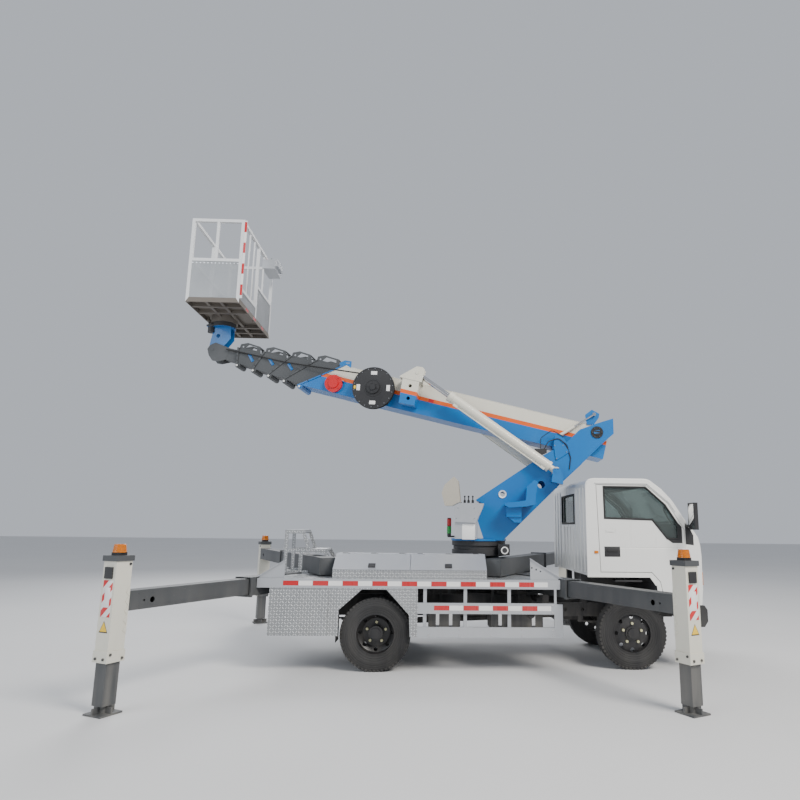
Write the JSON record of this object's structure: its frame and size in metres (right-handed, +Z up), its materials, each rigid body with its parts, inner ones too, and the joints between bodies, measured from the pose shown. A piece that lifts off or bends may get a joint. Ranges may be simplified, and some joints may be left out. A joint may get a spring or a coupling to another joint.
{
  "type": "cherry picker truck",
  "caption": "Light cab-over truck with a telescopic boom lift: work basket on a slewing boom, splayed outriggers with jacks, aluminium deck with lockers.",
  "frame": {"origin": "on the ground, under the middle of the parked truck's bounding box", "axes": "+X the way the truck drives, +Y to its left, +Z up"},
  "size_m": [6.1366, 5.0074, 5.32],
  "materials": {
    "chassis_grey": "satin dark grey chassis paint",
    "deck_grey": "dull aluminium chequer plate and rails",
    "lid_silver": "dull aluminium sheet",
    "tank_dark": "dark grey paint",
    "toolbox_silver": "bright aluminium chequer plate",
    "outrigger_grey": "dark grey paint",
    "jack_ivory": "ivory paint on the jack, dark grey on the arm",
    "leg_grey": "dark grey paint",
    "slew_black": "black paint",
    "column_blue": "gloss azure blue paint",
    "control_ivory": "ivory paint and stainless sheet",
    "cover_beige": "clouded beige plastic",
    "boom_two_tone": "ivory paint above, azure blue below, with an orange line between",
    "boom_2": "dark grey paint",
    "boom_3": "dark grey paint",
    "boom_4": "dark grey paint",
    "boom_5": "dark grey paint",
    "boom_6": "dark grey paint",
    "barrel_ivory": "ivory paint",
    "rod_chrome": "polished chrome",
    "reel_black": "dull black plastic",
    "bracket_blue": "gloss azure blue paint",
    "basket_white": "white painted tube and silver sheet",
    "cab_white": "gloss white paint",
    "door_white": "gloss white paint",
    "window_glass": "tinted safety glass",
    "interior_dark": "dark grey cloth and plastic",
    "bumper_dark": "dull dark plastic",
    "lamp_clear": "clear and red lamp plastic",
    "mirror_black": "dull black plastic",
    "engine_grey": "cast grey metal",
    "axle_black": "black chassis paint",
    "tyre": "black rubber",
    "rim_black": "black wheel paint"
  },
  "bodies": {
    "chassis": {"bumper": "bumper_dark", "cab_glass": "window_glass", "cab_interior": "interior_dark", "cab_shell": "cab_white", "chassis_frame": "chassis_grey", "deck": "deck_grey", "deck_posts": "outrigger_grey", "deck_steps": "deck_grey", "engine": "engine_grey", "front_axle": "axle_black", "lamps": "lamp_clear", "lockers": "lid_silver", "mirrors": "mirror_black", "outrigger_housings": "outrigger_grey", "rear_axle": "axle_black", "side_guards": "deck_grey", "slew_base": "slew_black", "tanks": "tank_dark", "toolbox": "toolbox_silver"},
    "door_right": {"door_right": "door_white", "door_glass_right": "window_glass"},
    "door_left": {"door_left": "door_white", "door_glass_left": "window_glass"},
    "toolbox_door": {"toolbox_door": "toolbox_silver"},
    "locker_lid_rear": {"locker_lid_rear": "lid_silver"},
    "locker_lid_front": {"locker_lid_front": "lid_silver"},
    "arm_front_right": {"outrigger_arm_front_right": "jack_ivory"},
    "leg_front_right": {"jack_leg_front_right": "leg_grey"},
    "arm_rear_right": {"outrigger_arm_rear_right": "jack_ivory"},
    "leg_rear_right": {"jack_leg_rear_right": "leg_grey"},
    "arm_front_left": {"outrigger_arm_front_left": "jack_ivory"},
    "leg_front_left": {"jack_leg_front_left": "leg_grey"},
    "arm_rear_left": {"outrigger_arm_rear_left": "jack_ivory"},
    "leg_rear_left": {"jack_leg_rear_left": "leg_grey"},
    "knuckle_right": {"knuckle_right": "axle_black"},
    "knuckle_left": {"knuckle_left": "axle_black"},
    "wheel_front_right": {"tyre_front_right": "tyre", "rim_front_right": "rim_black"},
    "wheel_front_left": {"tyre_front_left": "tyre", "rim_front_left": "rim_black"},
    "wheel_rear_right": {"tyre_rear_right": "tyre", "rim_rear_right": "rim_black"},
    "wheel_rear_left": {"tyre_rear_left": "tyre", "rim_rear_left": "rim_black"},
    "turret": {"turret_column": "column_blue", "control_box": "control_ivory"},
    "control_cover": {"control_cover": "cover_beige"},
    "boom_base": {"boom_base": "boom_two_tone"},
    "lift_barrels": {"lift_barrels": "barrel_ivory"},
    "lift_rods": {"lift_rods": "rod_chrome"},
    "level_barrel": {"level_barrel": "barrel_ivory"},
    "level_rod": {"level_rod": "rod_chrome"},
    "boom_section_2": {"boom_section_2": "boom_2"},
    "boom_section_3": {"boom_section_3": "boom_3"},
    "boom_section_4": {"boom_section_4": "boom_4"},
    "boom_section_5": {"boom_section_5": "boom_5"},
    "boom_section_6": {"boom_section_6": "boom_6"},
    "cable_reel": {"cable_reel": "reel_black"},
    "basket_bracket": {"basket_bracket": "bracket_blue"},
    "basket": {"basket": "basket_white"}
  },
  "joints": [
    {"name": "door_right_hinge", "type": "hinge", "parent": "chassis", "child": "door_right", "pos_m": [2.848, -0.877, 1.1], "axis": [0, 0, 1], "range_deg": [0, 65]},
    {"name": "door_left_hinge", "type": "hinge", "parent": "chassis", "child": "door_left", "pos_m": [2.848, 0.877, 1.1], "axis": [0, 0, -1], "range_deg": [0, 65]},
    {"name": "toolbox_hinge", "type": "hinge", "parent": "chassis", "child": "toolbox_door", "pos_m": [-1.6607, -0.983, 0.61], "axis": [0, 0, -1], "range_deg": [0, 100]},
    {"name": "locker_lid_rear_hinge", "type": "hinge", "parent": "chassis", "child": "locker_lid_rear", "pos_m": [-0.6062, -0.72349, 1.20348], "axis": [-1, 0, 0], "range_deg": [0, 100]},
    {"name": "locker_lid_front_hinge", "type": "hinge", "parent": "chassis", "child": "locker_lid_front", "pos_m": [0.2188, -0.72349, 1.20348], "axis": [-1, 0, 0], "range_deg": [0, 100]},
    {"name": "outrigger_front_right_slide", "type": "slide", "parent": "chassis", "child": "arm_front_right", "axis": [-0.4384, 0.8988, 0], "range_m": [0, 1.25]},
    {"name": "jack_front_right_slide", "type": "slide", "parent": "arm_front_right", "child": "leg_front_right", "axis": [0, 0, 1], "range_m": [0, 0.33]},
    {"name": "outrigger_rear_right_slide", "type": "slide", "parent": "chassis", "child": "arm_rear_right", "axis": [0.4384, 0.8988, 0], "range_m": [0, 1.25]},
    {"name": "jack_rear_right_slide", "type": "slide", "parent": "arm_rear_right", "child": "leg_rear_right", "axis": [0, 0, 1], "range_m": [0, 0.33]},
    {"name": "outrigger_front_left_slide", "type": "slide", "parent": "chassis", "child": "arm_front_left", "axis": [-0.4384, -0.8988, 0], "range_m": [0, 1.25]},
    {"name": "jack_front_left_slide", "type": "slide", "parent": "arm_front_left", "child": "leg_front_left", "axis": [0, 0, 1], "range_m": [0, 0.33]},
    {"name": "outrigger_rear_left_slide", "type": "slide", "parent": "chassis", "child": "arm_rear_left", "axis": [0.4384, -0.8988, 0], "range_m": [0, 1.25]},
    {"name": "jack_rear_left_slide", "type": "slide", "parent": "arm_rear_left", "child": "leg_rear_left", "axis": [0, 0, 1], "range_m": [0, 0.33]},
    {"name": "steer_right", "type": "hinge", "parent": "chassis", "child": "knuckle_right", "pos_m": [2.2513, -0.59, 0.375], "axis": [0, 0, 1], "range_deg": [-32, 32]},
    {"name": "steer_left", "type": "hinge", "parent": "chassis", "child": "knuckle_left", "pos_m": [2.2513, 0.59, 0.375], "axis": [0, 0, 1], "range_deg": [-32, 32]},
    {"name": "wheel_front_right_spin", "type": "hinge", "parent": "knuckle_right", "child": "wheel_front_right", "pos_m": [2.2513, -0.712, 0.375], "axis": [0, 1, 0], "continuous": true},
    {"name": "wheel_front_left_spin", "type": "hinge", "parent": "knuckle_left", "child": "wheel_front_left", "pos_m": [2.2513, 0.712, 0.375], "axis": [0, 1, 0], "continuous": true},
    {"name": "wheel_rear_right_spin", "type": "hinge", "parent": "chassis", "child": "wheel_rear_right", "pos_m": [-0.5487, -0.842, 0.375], "axis": [0, 1, 0], "continuous": true},
    {"name": "wheel_rear_left_spin", "type": "hinge", "parent": "chassis", "child": "wheel_rear_left", "pos_m": [-0.5487, 0.842, 0.375], "axis": [0, 1, 0], "continuous": true},
    {"name": "turret_slew", "type": "hinge", "parent": "chassis", "child": "turret", "pos_m": [0.6193, 0, 1.25], "axis": [0, 0, 1], "continuous": true},
    {"name": "control_cover_hinge", "type": "hinge", "parent": "turret", "child": "control_cover", "pos_m": [0.38015, -0.36199, 1.792], "axis": [0.1045, 0.9945, 0], "range_deg": [0, 90]},
    {"name": "boom_lift", "type": "hinge", "parent": "turret", "child": "boom_base", "pos_m": [2.05539, -0.15094, 2.653], "axis": [0.1045, 0.9945, 0], "range_deg": [-12, 60]},
    {"name": "lift_barrel_swing", "type": "hinge", "parent": "turret", "child": "lift_barrels", "pos_m": [1.54619, -0.09742, 2.166], "axis": [0.1045, 0.9945, 0], "range_deg": [-12, 57.5]},
    {"name": "lift_rod_slide", "type": "slide", "parent": "lift_barrels", "child": "lift_rods", "axis": [-0.8079, 0.0849, 0.5831], "range_m": [-0.15, 0.705]},
    {"name": "level_barrel_swing", "type": "hinge", "parent": "turret", "child": "level_barrel", "pos_m": [1.56455, -0.32458, 2.606], "axis": [0.1045, 0.9945, 0], "range_deg": [-3.5, 16.5]},
    {"name": "level_rod_slide", "type": "slide", "parent": "level_barrel", "child": "level_rod", "axis": [0.8461, -0.0889, 0.5256], "range_m": [-0.035, 0.16]},
    {"name": "telescope_2", "type": "slide", "parent": "boom_base", "child": "boom_section_2", "axis": [-0.9654, 0.1015, 0.2402], "range_m": [0, 2.6]},
    {"name": "telescope_3", "type": "slide", "parent": "boom_section_2", "child": "boom_section_3", "axis": [-0.9654, 0.1015, 0.2402], "range_m": [0, 2.6]},
    {"name": "telescope_4", "type": "slide", "parent": "boom_section_3", "child": "boom_section_4", "axis": [-0.9654, 0.1015, 0.2402], "range_m": [0, 2.6]},
    {"name": "telescope_5", "type": "slide", "parent": "boom_section_4", "child": "boom_section_5", "axis": [-0.9654, 0.1015, 0.2402], "range_m": [0, 2.6]},
    {"name": "telescope_6", "type": "slide", "parent": "boom_section_5", "child": "boom_section_6", "axis": [-0.9654, 0.1015, 0.2402], "range_m": [0, 2.6]},
    {"name": "cable_reel_spin", "type": "hinge", "parent": "boom_base", "child": "cable_reel", "pos_m": [-0.72512, -0.16035, 3.20935], "axis": [0.1045, 0.9945, 0], "continuous": true},
    {"name": "basket_level", "type": "hinge", "parent": "boom_section_6", "child": "basket_bracket", "pos_m": [-2.91861, 0.37185, 3.79801], "axis": [0.1045, 0.9945, 0], "range_deg": [-60, 12]},
    {"name": "basket_turn", "type": "hinge", "parent": "basket_bracket", "child": "basket", "pos_m": [-2.8118, 0.36062, 4.171], "axis": [0, 0, 1], "range_deg": [-90, 90]}
  ],
  "couplings": [
    {"joint": "steer_left", "follows": "steer_right", "ratio": 1},
    {"joint": "lift_barrel_swing", "follows": "boom_lift", "ratio": 0.948},
    {"joint": "lift_rod_slide", "follows": "boom_lift", "m_per_rad": 0.6704},
    {"joint": "level_barrel_swing", "follows": "boom_lift", "ratio": 0.27},
    {"joint": "level_rod_slide", "follows": "boom_lift", "m_per_rad": 0.148},
    {"joint": "telescope_3", "follows": "telescope_2", "ratio": 1},
    {"joint": "telescope_4", "follows": "telescope_2", "ratio": 1},
    {"joint": "telescope_5", "follows": "telescope_2", "ratio": 1},
    {"joint": "telescope_6", "follows": "telescope_2", "ratio": 1},
    {"joint": "basket_level", "follows": "boom_lift", "ratio": -1}
  ]
}
